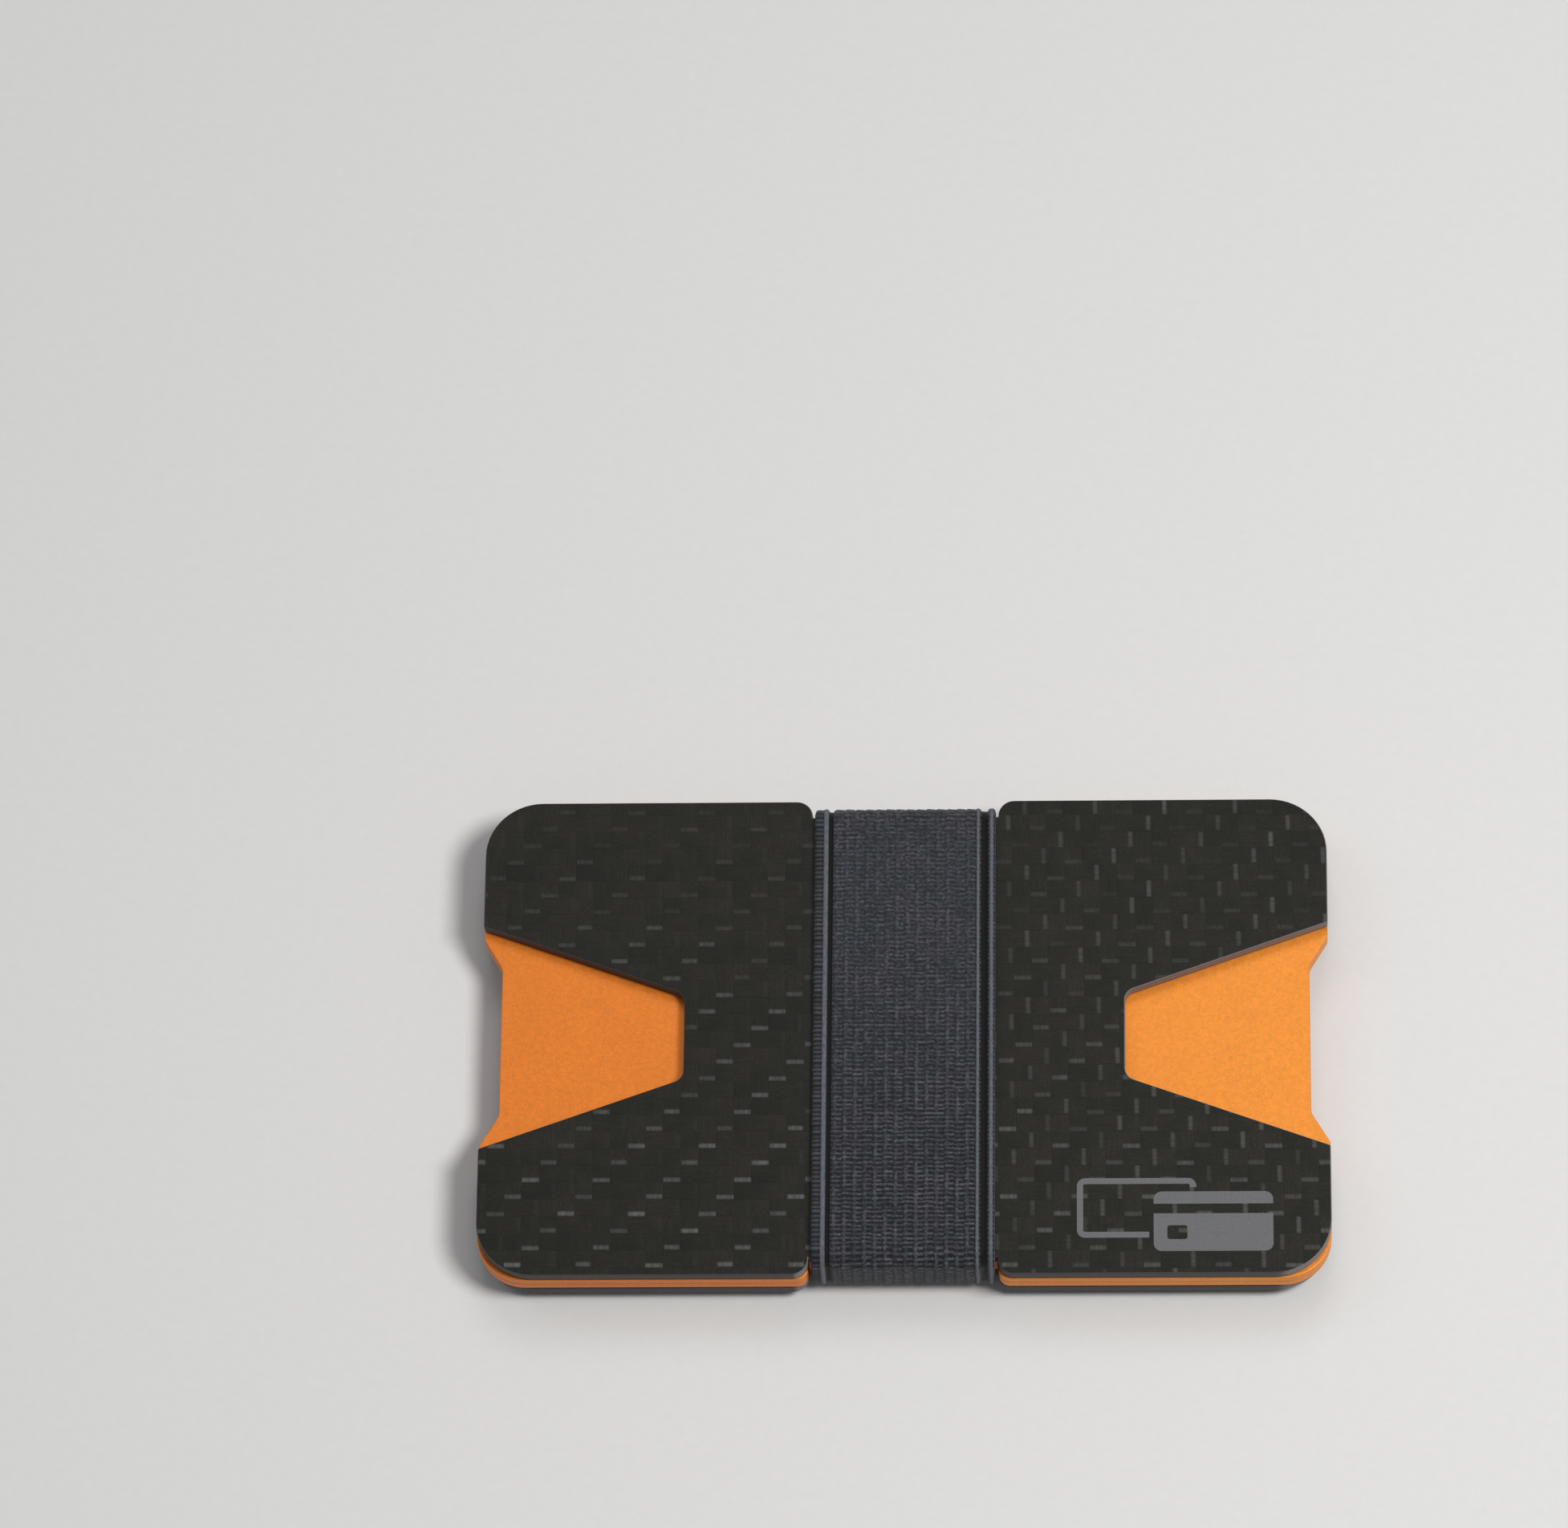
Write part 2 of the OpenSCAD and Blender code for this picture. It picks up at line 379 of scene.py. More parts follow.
def card_mark(nodes, x, y):
    """A generic picture of two payment cards, 1 where the laser has etched the plate."""
    front = box_distance(nodes, x, y, MARK_FRONT_PLACE, MARK_CARD, MARK_CORNER)
    rear = box_distance(nodes, x, y, MARK_REAR_PLACE, MARK_CARD, MARK_CORNER)
    stripe = box_distance(nodes, x, y, MARK_STRIPE_PLACE, MARK_STRIPE, 0.0)
    chip = box_distance(nodes, x, y, MARK_CHIP_PLACE, MARK_CHIP, MARK_CHIP_CORNER)
    face = nodes.ramp(front, MARK_SOFT, 0.0)
    for gap in (stripe, chip):
        face = nodes.math("MULTIPLY", face, nodes.ramp(gap, 0.0, MARK_SOFT))
    outline = nodes.band(rear, -MARK_OUTLINE, 0.0, MARK_SOFT)
    outline = nodes.math("MULTIPLY", outline, nodes.ramp(front, MARK_GAP, MARK_GAP + MARK_SOFT))
    return nodes.math("MAXIMUM", face, outline)


def resin_skin(nodes, grit, x, y, z):
    """Colour, roughness and relief of the flat faces, where the tows show through their resin."""
    height, y_on_top, place, side, column, row = twill(nodes, x, y)
    painted_glint = painted_glints(nodes, y_on_top, place, side, column, row, x, y)
    threads_y = nodes.noise(x, y, z, (5200, 420, 0), 3.0)
    threads_x = nodes.noise(x, y, z, (420, 5200, 0), 3.0)
    threads = nodes.blend(y_on_top, threads_x, threads_y)
    tow = nodes.chance(nodes.math("MULTIPLY", column, y_on_top), nodes.math("ADD", row, 7.0))
    cloud = nodes.noise(x, y, z, (60, 60, 60), 3.0)
    haze = nodes.noise(x, y, z, (420, 420, 420), 3.0)
    shade = nodes.math("MULTIPLY_ADD", threads, 1.1, 0.40)
    shade = nodes.vary(shade, tow, 0.26, 0.87)
    shade = nodes.vary(shade, cloud, 0.3, 0.85)
    shade = nodes.vary(shade, haze, 0.7, 0.62)
    shade = nodes.vary(shade, grit, 1.3, 0.35)
    shade = nodes.math("MULTIPLY", shade, nodes.blend(y_on_top, 0.96, 1.04))
    # A thin dark line lies between one tow and the next.
    inside_tow = nodes.band(side, -0.485, 0.485, 0.015)
    shade = nodes.math("MULTIPLY", shade, nodes.blend(inside_tow, 0.87, 1.0))
    # The resin is a little browner in some places and greener in others.
    hue = nodes.math("ADD", nodes.math("MULTIPLY", haze, 0.6), nodes.math("MULTIPLY", tow, 0.4))
    resin = nodes.mix(nodes.ramp(hue, 0.30, 0.70), GREENER_RESIN, BROWNER_RESIN)
    # Painted highlights: the glint bars are mixed into the colour.
    colour = nodes.mix(painted_glint, nodes.tint(resin, shade), PAINTED_GLINT_COLOUR)
    relief = nodes.bump(threads, FIBRE_RELIEF, nodes.bump(height, WEAVE_RELIEF))
    return colour, nodes.blend(threads, 0.40, 0.52), relief


def etched_skin(nodes, colour, roughness, x, y, z):
    """Colour and roughness of the skin with the mark etched into its upper face."""
    upper = nodes.ramp(nodes.coordinates("Normal")[2], 0.9, 0.99)
    etched = nodes.math("MULTIPLY", card_mark(nodes, x, y), upper)
    grain = nodes.noise(x, y, z, (7000, 7000, 0), 3.0)
    burnt = nodes.tint(ETCHED_RESIN, nodes.math("MULTIPLY_ADD", grain, 0.9, 0.55))
    return nodes.mix(etched, colour, burnt), nodes.blend(etched, roughness, 0.75)


def milled_edge(nodes, facing, grit, x, y, z):
    """Colour and relief of the cut edges: plies one above the other, each a little lighter or
    darker than the next."""
    ply_place = nodes.math("MULTIPLY", z, 1 / PLY_THICKNESS)
    ply = nodes.math("FLOOR", ply_place)
    inside_ply = nodes.band(nodes.math("FRACT", ply_place), 0.14, 0.86, 0.12)
    cut_ends = nodes.noise(x, y, z, (2600, 2600, 14000))
    shade = nodes.math("MULTIPLY_ADD", nodes.chance(ply, 3.0), 0.4, 0.7)
    shade = nodes.vary(shade, cut_ends, 0.9, 0.5)
    shade = nodes.math("MULTIPLY", shade, nodes.blend(inside_ply, 0.6, 1.0))
    # Painted light: the cut edges are painted as if lit from the right.
    # Cuts that face right are paler, as in the photo.
    facing_right = nodes.ramp(nodes.coordinates("Normal")[0], 0.02, 0.28)
    lit_from_right = nodes.blend(facing_right, 1.0, 2.9)
    wall = nodes.tint(CUT_PLIES, nodes.math("MULTIPLY", shade, lit_from_right))
    # The chamfer is plain, without the lines of the plies.
    on_chamfer = nodes.math("MULTIPLY", nodes.band(facing, 0.3, 0.85, 0.08), nodes.blend(grit, 0.5, 1.0))
    colour = nodes.mix(on_chamfer, wall, nodes.tint(CUT_CHAMFER, lit_from_right))
    return colour, nodes.bump(nodes.math("MULTIPLY", inside_ply, cut_ends), PLY_RELIEF)


def carbon_fibre(name, marked):
    """Matt 2x2 twill under a thin resin skin, with the plies showing on its cut edges."""
    nodes = Nodes(name, {"Specular IOR Level": 0.165, "Coat Weight": 0.04, "Coat Roughness": 0.38})
    x, y, z = nodes.coordinates("Object")
    facing = nodes.math("ABSOLUTE", nodes.coordinates("Normal")[2])
    grit = nodes.noise(x, y, z, (3800, 3800, 3800))
    skin, roughness, weave = resin_skin(nodes, grit, x, y, z)
    if marked:
        skin, roughness = etched_skin(nodes, skin, roughness, x, y, z)
    edge, plies = milled_edge(nodes, facing, grit, x, y, z)

    on_edge = nodes.ramp(facing, 0.97, 0.8)
    normal = nodes.add("ShaderNodeMix", data_type="VECTOR")
    nodes.fill(normal.inputs[0], on_edge)
    nodes.fill(normal.inputs[4], weave)
    nodes.fill(normal.inputs[5], plies)
    colour = nodes.mix(on_edge, skin, edge)
    return nodes.finish(colour, nodes.blend(on_edge, roughness, 0.58), normal.outputs[1])


# ---------------------------------------------------------------- other materials

def anodised_aluminium():
    """Orange anodising on bead-blasted aluminium."""
    nodes = Nodes("anodised_orange", {"Metallic": 0.35, "Specular IOR Level": 0.35})
    x, y, z = nodes.coordinates("Object")
    grain = nodes.noise(x, y, z, (5200, 5200, 5200), 3.0)
    pits = nodes.noise(x, y, z, (2100, 2100, 2100))
    cloud = nodes.noise(x, y, z, (150, 150, 150))
    facing = nodes.math("ABSOLUTE", nodes.coordinates("Normal")[2])
    shade = nodes.math("MULTIPLY_ADD", grain, 0.46, 0.77)
    shade = nodes.vary(shade, pits, 0.36, 0.82)
    shade = nodes.vary(shade, cloud, 0.1, 0.95)
    # Painted light and sheen: the orange is lit more brightly towards the right.
    # The orange is a little yellower towards the right, as in the photo.
    to_right = nodes.ramp(x, *ORANGE_LIGHT_FADE_X)
    colour = nodes.tint(nodes.mix(to_right, ORANGE_AT_LEFT, ORANGE_LIT_AT_RIGHT), shade)
    # The chamfer is a little paler than the blasted faces.
    on_chamfer = nodes.band(facing, 0.3, 0.93, 0.04)
    colour = nodes.mix(nodes.math("MULTIPLY", on_chamfer, 0.2), colour, ORANGE_CHAMFER)
    normal = nodes.bump(grain, GRAIN_RELIEF, nodes.bump(pits, PIT_RELIEF))
    return nodes.finish(colour, nodes.blend(pits, 0.36, 0.5), normal)


def adhesive_film():
    """Dark rubbery bonding film, a little uneven where it was squeezed out."""
    nodes = Nodes("adhesive_film", {"Specular IOR Level": 0.4})
    x, y, z = nodes.coordinates("Object")
    lumps = nodes.noise(x, y, z, (1800, 1800, 3000), 3.0)
    colour = nodes.mix(lumps, DARK_FILM, PALE_FILM)
    return nodes.finish(colour, nodes.blend(lumps, 0.35, 0.6), nodes.bump(lumps, FILM_RELIEF))


def sewing_thread():
    """Black polyester thread, shiny along its fine filaments."""
    nodes = Nodes("sewing_thread", {"Specular IOR Level": 0.45, "Sheen Weight": 0.2})
    x, y, z = nodes.coordinates("Object")
    fibres = nodes.noise(x, y, z, (3000, 16000, 16000), 3.0)
    colour = nodes.mix(fibres, DARK_THREAD, PALE_THREAD)
    return nodes.finish(colour, nodes.blend(fibres, 0.35, 0.6), nodes.bump(fibres, FILAMENT_RELIEF))


def pale_floor():
    """The plain pale ground that the wallet lies on."""
    nodes = Nodes("pale_floor", {"Specular IOR Level": 0.2})
    x, y, z = nodes.coordinates("Object")
    grain = nodes.noise(x, y, z, (900, 900, 900), 3.0)
    colour = nodes.mix(grain, DARK_FLOOR, PALE_FLOOR)
    return nodes.finish(colour, 0.8, nodes.bump(grain, FLOOR_RELIEF))


# ---------------------------------------------------------------- elastic material

# Ribs and grooves along the band: start, end and softness, in mm from its left edge
RIBS = ((1.12, 1.44, 0.16), (18.36, 18.52, 0.13), (19.84, 20.06, 0.16))
GROOVES = ((1.62, 2.04, 0.1), (18.84, 19.50, 0.12))
# Painted shade: the grooves are painted almost black.
PAINTED_GROOVE_SHADE = 0.06
BODY_SOFTNESS = 0.1 * MM
# The knit gets more contrast from the far end of the front run to its near end, as shares of the
# length of the loop.
KNIT_FADE = (0.34, 0.68)


def knit_place(nodes, u, v):
    """A place on the band counted in stitches: its wale, how far across that it is, how far along
    its pick, and two random numbers for the stitch."""
    wale_place = nodes.math("MULTIPLY_ADD", u, 1 / WALE_PITCH, -BODY_LEFT / WALE_PITCH)
    wale = nodes.math("FLOOR", wale_place)
    in_wale = nodes.math("SUBTRACT", wale_place, wale)
    pick_place = nodes.math("MULTIPLY", v, 1 / BAND_PICK)
    pick = nodes.math("FLOOR", pick_place)
    in_pick = nodes.math("SUBTRACT", pick_place, pick)
    luck = nodes.chance(wale, pick)
    other_luck = nodes.chance(pick, nodes.math("ADD", wale, 57.0))
    # Every other wale is a little behind the one before it, and each dash strays a little.
    odd = nodes.math("FLOORED_MODULO", wale, 2.0)
    slip = nodes.math("MULTIPLY_ADD", luck, 0.24, -0.12)
    slip = nodes.math("MULTIPLY_ADD", odd, 0.16, slip)
    return wale, in_wale, nodes.math("ADD", in_pick, slip), luck, other_luck


def dashes(nodes, in_wale, in_pick, luck):
    """The loops of the cross yarns: 1 on the back of each, and 0 where it dives."""
    dash = nodes.band(in_pick, 0.38, 0.64, 0.22)
    end = nodes.math("MULTIPLY_ADD", luck, 0.10, 0.90)
    started = nodes.ramp(in_wale, -0.12, 0.14)
    not_ended = nodes.ramp(in_wale, nodes.math("ADD", end, 0.16), nodes.math("SUBTRACT", end, 0.06))
    return nodes.math("MULTIPLY", dash, nodes.math("MULTIPLY", started, not_ended))


def knit_light(nodes, u, v, wale, luck, chain, dash, fibres, frizz, patches):
    """How light the knitted wales are, as a number round 1."""
    stretch = nodes.noise(wale, v, 0.0, (7.3, 420, 1))
    chain_light = nodes.blend(nodes.ramp(stretch, 0.40, 0.66), 0.25, 1.15)
    chain_light = nodes.math("MULTIPLY", chain_light, nodes.blend(dash, 0.75, 1.0))
    dash_light = nodes.vary(dash, luck, 0.62, 0.46)
    light = nodes.math("MAXIMUM", nodes.math("MULTIPLY", chain, chain_light), dash_light)
    # The far end of the front run has less contrast than the near end, as in the photo.
    to_near = nodes.ramp(v, LOOP_LENGTH * KNIT_FADE[0], LOOP_LENGTH * KNIT_FADE[1])
    light = nodes.math("MULTIPLY", light, nodes.blend(to_near, 0.66, 1.16))
    light = nodes.vary(light, fibres, 1.0, 0.5)
    light = nodes.math("ADD", light, nodes.blend(to_near, 0.56, 0.22))
    light = nodes.math("MULTIPLY", light, frizz)
    # Loose fibres lie over the knit in little tufts, which blur its dashes.
    tufts = nodes.ramp(nodes.noise(u, v, 0.0, (2300, 2900, 1)), 0.36, 0.70)
    light = nodes.math("MULTIPLY", light, nodes.blend(tufts, 0.70, 1.65))
    return nodes.vary(light, patches, 0.5, 0.75)


def selvedge_light(nodes, in_pick, luck, frizz):
    """How light the loops along the band's edges are."""
    purl = nodes.band(in_pick, 0.35, 0.7, 0.2)
    light = nodes.math("MULTIPLY", nodes.blend(purl, 0.35, 1.3), nodes.blend(luck, 0.6, 1.2))
    return nodes.math("MULTIPLY", light, frizz)


def rib_light(nodes, u, v, fibres_along, frizz):
    """How light the twisted yarns of the ribs are."""
    lumps = nodes.noise(u, v, 0.0, (2500, 1500, 1))
    light = nodes.math("MULTIPLY_ADD", fibres_along, 1.2, 0.8)
    light = nodes.math("ADD", light, nodes.math("MULTIPLY", lumps, 2.6))
    return nodes.math("MULTIPLY", light, nodes.blend(0.5, 1.0, frizz))


def stripes(nodes, u, places):
    """1 on stripes along the band, and 0 between them."""
    stripe = 0.0
    for low, high, soft in places:
        stripe = nodes.math("MAXIMUM", stripe, nodes.band(u, low * MM, high * MM, soft * MM))
    return stripe


def elastic_weave():
    """Dark elastic. Its map has the distance across the band in u and round the loop in v."""
    nodes = Nodes("elastic_weave", {"Specular IOR Level": 0.2, "Sheen Weight": 0.12,
                                    "Sheen Roughness": 0.5})
    uv = nodes.add("ShaderNodeUVMap", uv_map="weave").outputs[0]
    u, v, _ = nodes.add("ShaderNodeSeparateXYZ", [uv]).outputs
    wale, in_wale, in_pick, luck, other_luck = knit_place(nodes, u, v)
    body = nodes.band(u, BODY_LEFT, BODY_RIGHT, BODY_SOFTNESS)
    chain = nodes.band(in_wale, 0.20, 0.38, 0.13)
    dash = dashes(nodes, in_wale, in_pick, other_luck)

    fibres_across = nodes.noise(u, v, 0.0, (1800, 12000, 1), 3.0)
    fibres_along = nodes.noise(u, v, 0.0, (16000, 2200, 1), 3.0)
    fibres = nodes.blend(chain, fibres_across, fibres_along)
    patches = nodes.noise(u, v, 0.0, (260, 160, 1))
    frizz = nodes.noise(u, v, 0.0, (5200, 7000, 1))
    frizz = nodes.math("MULTIPLY_ADD", frizz, 1.8, 0.08)

    light = knit_light(nodes, u, v, wale, other_luck, chain, dash, fibres, frizz, patches)
    light = nodes.blend(body, selvedge_light(nodes, in_pick, luck, frizz), light)
    light = nodes.blend(stripes(nodes, u, RIBS), light, rib_light(nodes, u, v, fibres_along, frizz))
    # Painted shade darkens the grooves.
    light = nodes.blend(stripes(nodes, u, GROOVES), light, PAINTED_GROOVE_SHADE)
    # Some stretches of the dyed yarn are a little bluer, and others a little more purple.
    colour = nodes.tint(nodes.mix(nodes.ramp(patches, 0.35, 0.65), BLUER_DYE, PURPLER_DYE), light)

    raised = nodes.math("MULTIPLY", nodes.math("MAXIMUM", chain, dash), body)
    normal = nodes.bump(frizz, KNIT_RELIEF, nodes.bump(raised, KNIT_RELIEF))
    return nodes.finish(colour, nodes.blend(fibres, 0.6, 0.85), normal)


# ---------------------------------------------------------------- meshes

def new_object(name, points, faces, material, smooth=True):
    """A mesh object with one material, put in the scene."""
    mesh = bpy.data.meshes.new(name)
    mesh.from_pydata([tuple(p) for p in points], [], faces)
    mesh.materials.append(material)
    mesh.polygons.foreach_set("use_smooth", [smooth] * len(mesh.polygons))
    mesh.update()
    obj = bpy.data.objects.new(name, mesh)
    bpy.context.scene.collection.objects.link(obj)
    return obj


def chamfer(obj, width):
    """Breaks a CAD plate's edges with modifiers, which leave its own mesh alone."""
    if "custom_normal" in obj.data.attributes:
        obj.data.attributes.remove(obj.data.attributes["custom_normal"])
    obj.data.polygons.foreach_set("use_smooth", [True] * len(obj.data.polygons))
    weld = obj.modifiers.new("weld", "WELD")
    weld.merge_threshold = WELD_DISTANCE
    # Flat faces become one polygon each, so that the chamfer has an even width.
    flatten = obj.modifiers.new("flatten", "DECIMATE")
    flatten.decimate_type = "DISSOLVE"
    flatten.angle_limit = FLAT_ANGLE
    bevel = obj.modifiers.new("chamfer", "BEVEL")
    bevel.width = width
    bevel.segments = 2
    bevel.use_clamp_overlap = False
    bevel.limit_method = "ANGLE"
    bevel.angle_limit = SHARP_ANGLE
    bevel.harden_normals = True


def paint(node, material):
    """Gives a CAD node its material."""
    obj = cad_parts[node]
    obj.data.materials.clear()
    obj.data.materials.append(material)


# ---------------------------------------------------------------- elastic band

# The outline of the band outside its wales: place from the left edge, and depth below the highest
# point of the band, both in mm. It is straight between them.
EDGE_PROFILE = [
    (0.00, 0.55), (0.10, 0.24), (0.30, 0.13), (0.60, 0.12), (0.88, 0.17), (1.00, 0.06),
    (1.22, 0.00), (1.44, 0.06), (1.64, 0.38), (2.04, 0.42), (2.19, 0.17),
    (18.15, 0.17), (18.24, 0.06), (18.43, 0.00), (18.62, 0.06), (18.82, 0.38), (19.46, 0.42),
    (19.66, 0.09), (19.90, 0.00), (20.12, 0.03), (20.30, 0.20), (20.40, 0.55),
]
WALE_STEPS = (0.0, 0.12, 0.26, 0.42, 0.56, 0.72, 0.88)
# The loops of the left edge, and the ribs of twisted yarn: start and end, in mm
SELVEDGE = (0.05, 0.95)
TWISTED_RIBS = ((0.95, 1.5), (18.2, 18.7), (19.8, 20.5))
# Heights of the knit in mm: its chains, the ground beside them, its rows between and on the
# chains, the part left to chance, and the level that is 0
CHAIN_HEIGHT = 0.06
GROUND_HEIGHT = 0.05
ROW_HEIGHT = 0.075
ROW_LOSS_ON_CHAIN = 0.03
CHANCE_HEIGHT = 0.04
KNIT_LEVEL = 0.07
SELVEDGE_HEIGHT = 0.10
TWIST_DEPTH = 0.05
BAND_LOW, BAND_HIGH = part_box("band_front_span")
BAND_LEFT = BAND_LOW.x
BAND_WIDTH = BAND_HIGH.x - BAND_LOW.x
BAND_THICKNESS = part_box("band_far_side")[1].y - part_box("band_far_side")[0].y


def loop_path(spacing):
    """Evenly spaced points (y, z) and outward directions on the middle surface of the loop, from
    the middle of the back run. It is a rectangle with round corners and sides that bulge."""
    half = BAND_THICKNESS / 2
    radius = half + BAND_INNER_RADIUS
    outer_y = BAND_HIGH.y - half
    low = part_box("band_back_span")[0].z + half
    high = BAND_HIGH.z - half
    corners = [(outer_y, low, -90), (outer_y, high, 0), (-outer_y, high, 90), (-outer_y, low, 180)]
    points = [(0.0, low)]
    for y, z, start in corners:
        centre_y = y - math.copysign(radius, y)
        centre_z = z + radius if z == low else z - radius
        if start in (0, 180):
            other_z = low + high - centre_z
            points += [(y, level) for level in np.linspace(other_z, centre_z, SIDE_POINTS)[1:-1]]
        for angle in np.radians(np.linspace(start, start + 90, CORNER_POINTS)):
            points.append((centre_y + radius * math.cos(angle), centre_z + radius * math.sin(angle)))
    points.append((0.0, low))
    points = np.array(points)
    level = (points[:, 1] - (low + high) / 2) / ((high - low) / 2)
    on_side = np.clip((np.abs(points[:, 0]) - (outer_y - radius)) / radius, 0, 1)
    points[:, 0] += np.sign(points[:, 0]) * BAND_BULGE * (1 - level ** 2) * on_side
    reach = np.concatenate([[0], np.cumsum(np.linalg.norm(np.diff(points, axis=0), axis=1))])
    picks = round(reach[-1] / spacing)
    place = np.linspace(0, reach[-1], picks * ROWS_PER_PICK, endpoint=False)
    middle = np.stack([np.interp(place, reach, points[:, k]) for k in (0, 1)], 1)
    along = np.roll(middle, -1, axis=0) - np.roll(middle, 1, axis=0)
    along /= np.linalg.norm(along, axis=1)[:, None]
    outward = np.stack([along[:, 1], -along[:, 0]], 1)
    return place, middle, outward, reach[-1], picks


def inner_height(middle, outward, thickness):
    """Height of the inner face over the middle surface. The elastic is squeezed thinner where it
    turns over the plates' edges, so that it keeps clear of them."""
    edge_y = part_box("band_far_side")[0].y + BAND_GAP
    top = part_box("front_face_plate")[1].z
    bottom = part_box("back_face_plate")[0].z
    middle_z = (top + bottom) / 2
    reach_z = (top - bottom) / 2 + BAND_GAP
    away = np.maximum(np.abs(outward), 1e-6)
    past_edge = (edge_y - np.abs(middle[:, 0])) / away[:, 0]
    past_face = (reach_z - np.abs(middle[:, 1] - middle_z)) / away[:, 1]
    return np.maximum(-thickness / 2, np.minimum(past_edge, past_face))


LOOP_LENGTH = loop_path(PICK_PITCH)[3]
BAND_PICK = LOOP_LENGTH / loop_path(PICK_PITCH)[4]


def outer_columns():
    """The places across the band, from its left edge, where its outer face has points."""
    edges = [place * MM for place, _ in EDGE_PROFILE]
    left = [x for x in edges if x < BODY_LEFT]
    right = [x for x in edges if x > BODY_RIGHT - TINY]
    wales = [BODY_LEFT + (k + step) * WALE_PITCH for k in range(WALES) for step in WALE_STEPS]
    return np.array(left + wales + right)


def smooth_step(value, low, high):
    """0 at low, 1 at high and smooth between, for arrays."""
    share = np.clip((value - low) / (high - low), 0, 1)
    return share * share * (3 - 2 * share)


def between(x, limits):
    """True where x, in metres, is between two limits in mm."""
    return (x > limits[0] * MM) & (x < limits[1] * MM)


def outer_height(across, place, random):
    """Height of the knitted outer face below the band's highest level, for every place along the
    band (rows) and across it (columns)."""
    x = across[None, :]
    s = place[:, None]
    profile = -np.interp(across, *np.array(EDGE_PROFILE).T * MM)[None, :]
    wale_place = (x - BODY_LEFT) / WALE_PITCH
    wale = np.clip(np.floor(wale_place + 1e-6), 0, WALES - 1).astype(int)
    in_wale = wale_place - wale
    in_body = (x > BODY_LEFT - TINY) & (x < BODY_RIGHT - TINY)
    pick_place = s / BAND_PICK
    pick = np.floor(pick_place + 1e-6).astype(int)
    rows = 0.5 - 0.5 * np.cos(2 * np.pi * pick_place)
    chain = smooth_step(in_wale, 0.02, 0.3) * smooth_step(in_wale, 0.62, 0.4)
    ground = smooth_step(in_wale, 0.0, 0.16) * smooth_step(in_wale, 1.0, 0.84)
    luck = random.random((pick.max() + 1, WALES))[pick, wale]
    ground = 0.4 + 0.6 * ground
    knit = CHAIN_HEIGHT * chain + GROUND_HEIGHT * ground
    knit = knit + rows * (ROW_HEIGHT - ROW_LOSS_ON_CHAIN * chain) * ground + CHANCE_HEIGHT * luck
    ribs = sum(between(x, rib) for rib in TWISTED_RIBS)
    twist = 0.5 + 0.5 * np.sin(2 * np.pi * pick_place / 2 + 5 * x / MM)
    height = profile + MM * (knit - KNIT_LEVEL) * in_body
    height = height + MM * SELVEDGE_HEIGHT * (rows - 0.7) * between(x, SELVEDGE)
    return height - MM * TWIST_DEPTH * twist * ribs


def yarn_wander(across, place, random):
    """How far the cross yarns stray along the band, the same at both ends of the loop."""
    phase = random.random(WANDER_WAVES) * 2 * np.pi
    total = place[-1] + place[1] - place[0]
    wander = np.zeros((len(place), len(across)))
    for k in range(WANDER_WAVES):
        turns = 2 + 3 * k
        wave = np.sin(2 * np.pi * turns * place / total + phase[k])[:, None]
        wander += wave * np.sin(across / BAND_WIDTH * (3 + 2.3 * k) + phase[k])[None, :]
    return YARN_WANDER * wander


def strip_faces(across, place, closed):
    """Faces of a strip, and the place across and along it of each of their corners. Its points lie
    in rows along the strip, and each row goes round its cross-section."""
    rows, columns = len(place), len(across)
    faces = []
    corners = []
    step = place[1] - place[0]
    for r in range(rows if closed else rows - 1):
        here = r * columns
        after = (r + 1) % rows * columns
        for c in range(columns):
            beside = (c + 1) % columns
            faces.append((here + c, here + beside, after + beside, after + c))
            ends = (place[r], place[r], place[r] + step, place[r] + step)
            sides = (across[c], across[beside], across[beside], across[c])
            corners.extend(zip(sides, ends))
    if not closed:
        for r, order in ((0, range(columns - 1, -1, -1)), (rows - 1, range(columns))):
            faces.append(tuple(r * columns + c for c in order))
            corners.extend((across[c], place[r]) for c in order)
    return faces, corners


def knitted_strip(name, place, middle, outward, thickness, closed, material, seed, groove=None):
    """A strip of the elastic along a path of (y, z) points. Its outer face is the knitted one. A
    groove is a function of the place along the strip that says how far the outer face is pulled in."""
    random = np.random.default_rng(seed)
    outer = outer_columns()
    inner = np.linspace(BAND_WIDTH - INNER_MARGIN, INNER_MARGIN, INNER_POINTS)
    across = np.concatenate([outer, inner])
    rows, columns = len(place), len(across)
    height = np.empty((rows, columns))
    height[:, :len(outer)] = thickness / 2 + outer_height(outer, place, random)
    inside = inner_height(middle, outward, thickness)[:, None] if closed else -thickness / 2
    height[:, len(outer):] = inside
    if groove is not None:
        height[:, 1:len(outer) - 1] -= groove(place)[:, None]
    # The yarns of the sewn lap don't wander.
    shift = yarn_wander(across, place, random) * (1 if closed else 0)
    direction = np.stack([-outward[:, 1], outward[:, 0]], 1)
    points = np.empty((rows, columns, 3))
    points[:, :, 0] = BAND_LEFT + across[None, :]
    points[:, :, 1:] = middle[:, None, :] + height[:, :, None] * outward[:, None, :]
    points[:, :, 1:] += shift[:, :, None] * direction[:, None, :]
    # The loops of the left edge stand out by a different amount at every pick.
    loops = random.random(rows // ROWS_PER_PICK + 1)[np.arange(rows) // ROWS_PER_PICK]
    points[:, :2, 0] -= SELVEDGE_WANDER * loops[:, None]
    faces, corners = strip_faces(across, place, closed)
    obj = new_object(name, points.reshape(-1, 3), faces, material)
    layer = obj.data.uv_layers.new(name="weave")
    layer.data.foreach_set("uv", np.array(corners, np.float32).ravel())
    return obj


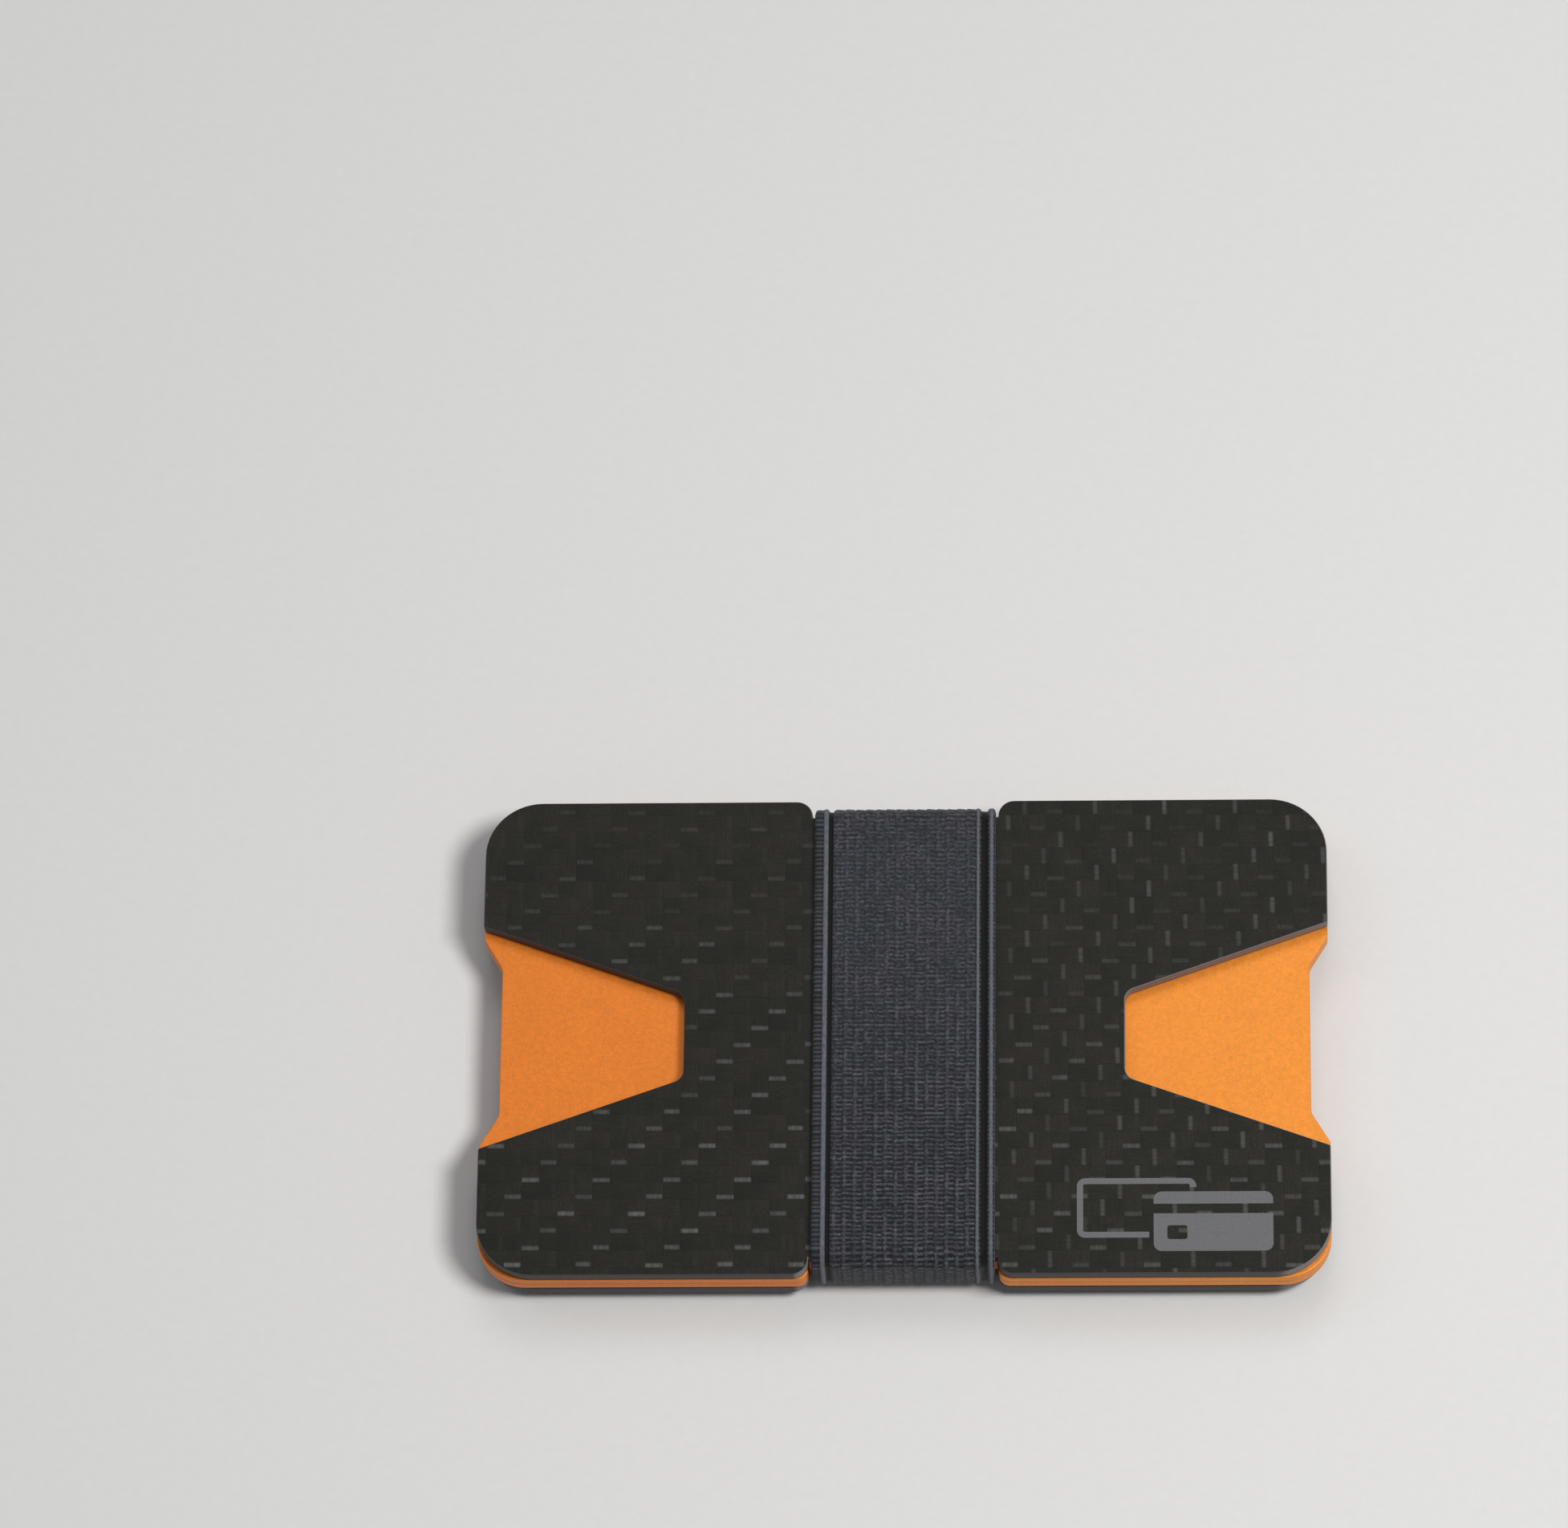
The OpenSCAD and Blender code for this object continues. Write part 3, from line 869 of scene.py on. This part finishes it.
def elastic_band(material):
    """The closed loop round both halves."""
    place, middle, outward, _, _ = loop_path(PICK_PITCH)
    return knitted_strip("elastic_band", place, middle, outward, BAND_THICKNESS, True, material, BAND_SEED)


def band_lap(material):
    """The end of the strip, laid over the start of it on the back and sewn down."""
    low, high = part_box("band_lap")
    thickness = high.z - low.z
    rows = round((high.y - low.y) / BAND_PICK) * ROWS_PER_PICK
    place = np.linspace(0, high.y - low.y, rows + 1)
    middle = np.stack([low.y + place, np.full(rows + 1, (low.z + high.z) / 2)], 1)
    outward = np.tile([0.0, -1.0], (rows + 1, 1))

    def pulled_in(s):
        y = low.y + s
        rows_of_stitches = (-STITCH_ROW, STITCH_ROW)
        sewn = sum(smooth_step(abs(y - row), SEWN_DIP_START, SEWN_DIP_END) for row in rows_of_stitches)
        end = np.minimum(s, place[-1] - s)
        return SEWN_DIP * sewn + LAP_END_DIP * smooth_step(end, LAP_END_REACH, 0.0)

    return knitted_strip("elastic_lap", place, middle, outward, thickness, False, material, LAP_SEED,
                         pulled_in)


# ---------------------------------------------------------------- thread

def tube(path, radius, sides):
    """Points and faces of a round tube along a path, with closed ends."""
    path = np.array(path)
    heading = np.gradient(path, axis=0)
    heading /= np.linalg.norm(heading, axis=1)[:, None]
    up = np.array([0.0, 1.0, 0.0])
    first = np.cross(heading, up)
    first /= np.linalg.norm(first, axis=1)[:, None]
    second = np.cross(first, heading)
    turn = np.linspace(0, 2 * np.pi, sides, endpoint=False)
    ring = np.cos(turn)[None, :, None] * first[:, None, :]
    ring = ring + np.sin(turn)[None, :, None] * second[:, None, :]
    points = (path[:, None, :] + radius * ring).reshape(-1, 3)
    faces = []
    for r in range(len(path) - 1):
        for c in range(sides):
            d = (c + 1) % sides
            faces.append((r * sides + c, r * sides + d, (r + 1) * sides + d, (r + 1) * sides + c))
    faces.append(tuple(range(sides - 1, -1, -1)))
    faces.append(tuple(range((len(path) - 1) * sides, len(path) * sides)))
    return points, faces


def lap_stitches(material):
    """Two rows of stitches, each a two-ply twisted thread that dives into the lap at both ends."""
    low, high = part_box("lap_thread")
    width = high.z - low.z
    first_x = low.x + STITCH_LENGTH / 2
    last_x = high.x - STITCH_LENGTH / 2
    share = np.linspace(-1, 1, STITCH_POINTS)
    sink = STITCH_SINK * np.abs(share) ** 5
    offset = THREAD_PLY_OFFSET * width
    points, faces = [], []
    for row in (-STITCH_ROW, STITCH_ROW):
        for x in np.linspace(first_x, last_x, STITCHES_IN_A_ROW):
            for side in (0, np.pi):
                twist = THREAD_TURNS * np.pi * share + side
                path = np.stack([
                    x + share * (STITCH_LENGTH / 2 - STITCH_GAP),
                    row + offset * np.cos(twist),
                    low.z + THREAD_LEVEL * width + sink + offset * np.sin(twist),
                ], 1)
                more_points, more_faces = tube(path, THREAD_PLY_RADIUS * width, THREAD_SIDES)
                before = sum(len(p) for p in points)
                points.append(more_points)
                faces.extend(tuple(i + before for i in f) for f in more_faces)
    return new_object("lap_stitches", np.concatenate(points), faces, material)


# ---------------------------------------------------------------- stage

def floor(material):
    """The ground of the picture, which isn't part of the wallet."""
    low, high = -FLOOR_REACH, FLOOR_REACH
    corners = [(low, low, 0), (high, low, 0), (high, high, 0), (low, high, 0)]
    obj = new_object("floor", corners, [(0, 1, 2, 3)], material, smooth=False)


def softbox(name, place, size, power, colour):
    """A round light at a place, facing the wallet."""
    data = bpy.data.lights.new(name, "AREA")
    data.shape = "DISK"
    data.size = size
    data.energy = power
    data.color = colour
    obj = bpy.data.objects.new(name, data)
    obj.location = place
    obj.rotation_mode = "QUATERNION"
    obj.rotation_quaternion = (Vector(LIGHTS_AIM) - Vector(place)).to_track_quat("-Z", "Y")
    bpy.context.scene.collection.objects.link(obj)


def lights():
    """The three round lights and the even light from all sides."""
    for name, settings in LIGHTS.items():
        softbox(name, *settings)
    world = bpy.data.worlds.new("studio")
    world.use_nodes = True
    background = world.node_tree.nodes["Background"]
    background.inputs["Color"].default_value = (*WORLD_COLOUR, 1.0)
    background.inputs["Strength"].default_value = WORLD_STRENGTH
    bpy.context.scene.world = world
    bpy.context.scene.view_settings.view_transform = "Standard"


def camera():
    """Stands off the aim point along the line of sight, with the picture turned by the roll."""
    aim = Vector((AIM_X, AIM_Y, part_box("front_face_plate")[1].z))
    turn = Matrix.Rotation(-CAMERA_SWING, 4, "Z") @ Matrix.Rotation(CAMERA_TILT, 4, "X")
    turn = turn @ Matrix.Rotation(-CAMERA_ROLL, 4, "Z")
    data = bpy.data.cameras.new("camera")
    data.sensor_width = CAMERA_SENSOR
    data.lens = CAMERA_LENS
    data.clip_start, data.clip_end = CAMERA_RANGE
    obj = bpy.data.objects.new("camera", data)
    obj.matrix_world = Matrix.Translation(aim) @ turn @ Matrix.Translation((0, 0, CAMERA_DISTANCE))
    bpy.context.scene.collection.objects.link(obj)
    bpy.context.scene.camera = obj


# ---------------------------------------------------------------- scene

def plates():
    """Materials and chamfers of the rigid CAD nodes."""
    orange = anodised_aluminium()
    film = adhesive_film()
    paint("front_face_plate", carbon_fibre("carbon_front", True))
    paint("back_face_plate", carbon_fibre("carbon_back", False))
    for side in ("front", "back"):
        paint(f"{side}_liner_plate", orange)
        paint(f"{side}_bond_film", film)
        chamfer(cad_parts[f"{side}_face_plate"], PLATE_CHAMFER)
        chamfer(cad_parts[f"{side}_liner_plate"], LINER_CHAMFER)


def soft_parts():
    """The elastic and its thread, which stand for the plain CAD nodes."""
    weave = elastic_weave()
    band = elastic_band(weave)
    lap = band_lap(weave)
    stitches = lap_stitches(sewing_thread())
    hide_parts("band_front_span", "band_back_span", "band_far_side", "band_near_side")
    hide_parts("band_lap")
    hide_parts("lap_thread")
    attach(lap, "back_half")
    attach(stitches, "back_half")
    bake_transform(band)


camera()
lights()
floor(pale_floor())
plates()
soft_parts()
